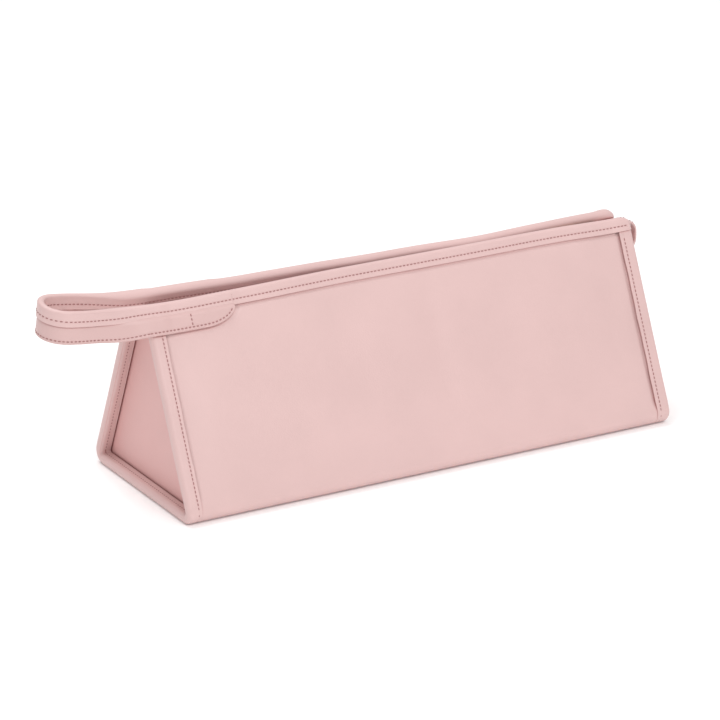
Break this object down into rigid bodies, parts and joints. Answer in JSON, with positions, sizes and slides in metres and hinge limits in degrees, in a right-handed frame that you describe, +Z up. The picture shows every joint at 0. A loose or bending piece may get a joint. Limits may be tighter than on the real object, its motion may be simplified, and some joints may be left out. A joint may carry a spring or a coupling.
{
  "type": "hair tool travel pouch",
  "caption": "Zipped pouch of triangular section in soft imitation leather, with bound ends, a strap loop at one end and a zip along the top.",
  "frame": {"origin": "middle of the base, on the surface the pouch stands on", "axes": "+X along the pouch towards the closed end of the zip, with the wrist loop at the -X end; +Y from the front wall to the back wall; +Z up"},
  "size_m": [0.4092, 0.1224, 0.1274],
  "materials": {
    "soft_leather": "pale pink imitation leather with a fine grain",
    "binding_leather": "pale pink imitation leather, folded and stitched",
    "strap_leather": "pale pink imitation leather, edge stitched",
    "stiffener": "plain foam-backed board",
    "stiffener_web": "plain non-woven web",
    "lining_fabric": "pink woven lining",
    "zip_tape": "pink woven tape",
    "zip_teeth": "pink nylon",
    "zip_metal": "pale gold plating"
  },
  "bodies": {
    "pouch": {"base_cover": "soft_leather", "base_board": "stiffener", "base_lining": "lining_fabric", "strap_front_bend": "strap_leather", "front_top_stop": "zip_metal", "strap_back_bend": "strap_leather", "back_top_stop": "zip_metal", "left_seam_edge": "soft_leather", "left_binding": "binding_leather", "left_end_panel": "soft_leather", "left_end_board": "stiffener", "left_end_lining": "lining_fabric", "right_seam_edge": "soft_leather", "right_binding": "binding_leather", "right_end_panel": "soft_leather", "right_end_board": "stiffener", "right_end_lining": "lining_fabric", "zip_bottom_stop": "zip_metal", "zip_end_tab": "binding_leather"},
    "front_wall": {"front_cover": "soft_leather", "front_board": "stiffener", "front_lining": "lining_fabric", "front_hem": "binding_leather", "front_zip_tape": "zip_tape", "front_zip_coil": "zip_teeth", "strap_front_tail": "strap_leather"},
    "back_wall": {"back_cover": "soft_leather", "back_board": "stiffener", "back_lining": "lining_fabric", "back_hem": "binding_leather", "back_zip_tape": "zip_tape", "back_zip_coil": "zip_teeth", "strap_back_tail": "strap_leather"},
    "slider": {"slider_body": "zip_metal"},
    "pull": {"zip_pull": "zip_metal"},
    "wrist_loop": {"strap_loop": "strap_leather", "strap_loop_core": "stiffener_web", "strap_loop_hem": "binding_leather"}
  },
  "joints": [
    {"name": "zip_slide", "type": "slide", "parent": "pouch", "child": "slider", "axis": [-1, 0, 0], "range_m": [0, 0.28], "deforming": ["front_zip_tape", "front_zip_coil", "back_zip_tape", "back_zip_coil"]},
    {"name": "front_wall_open", "type": "hinge", "parent": "pouch", "child": "front_wall", "pos_m": [0, -0.06055, 0.01021], "axis": [1, 0, 0], "range_deg": [0, 12]},
    {"name": "back_wall_open", "type": "hinge", "parent": "pouch", "child": "back_wall", "pos_m": [0, 0.06055, 0.01021], "axis": [-1, 0, 0], "range_deg": [0, 12]},
    {"name": "pull_swing", "type": "hinge", "parent": "slider", "child": "pull", "pos_m": [0.1433, 0, 0.1131], "axis": [0, 1, 0], "range_deg": [0, 150]},
    {"name": "loop_swing", "type": "hinge", "parent": "pouch", "child": "wrist_loop", "pos_m": [-0.168, 0, 0.11], "axis": [0, 0, 1], "range_deg": [-40, 40], "stiffness_Nm_per_rad": 0.05, "deforming": ["strap_front_bend", "strap_back_bend"]}
  ],
  "couplings": [
    {"joint": "front_wall_open", "follows": "zip_slide", "rad_per_m": 0.74792},
    {"joint": "back_wall_open", "follows": "zip_slide", "rad_per_m": 0.74792}
  ]
}
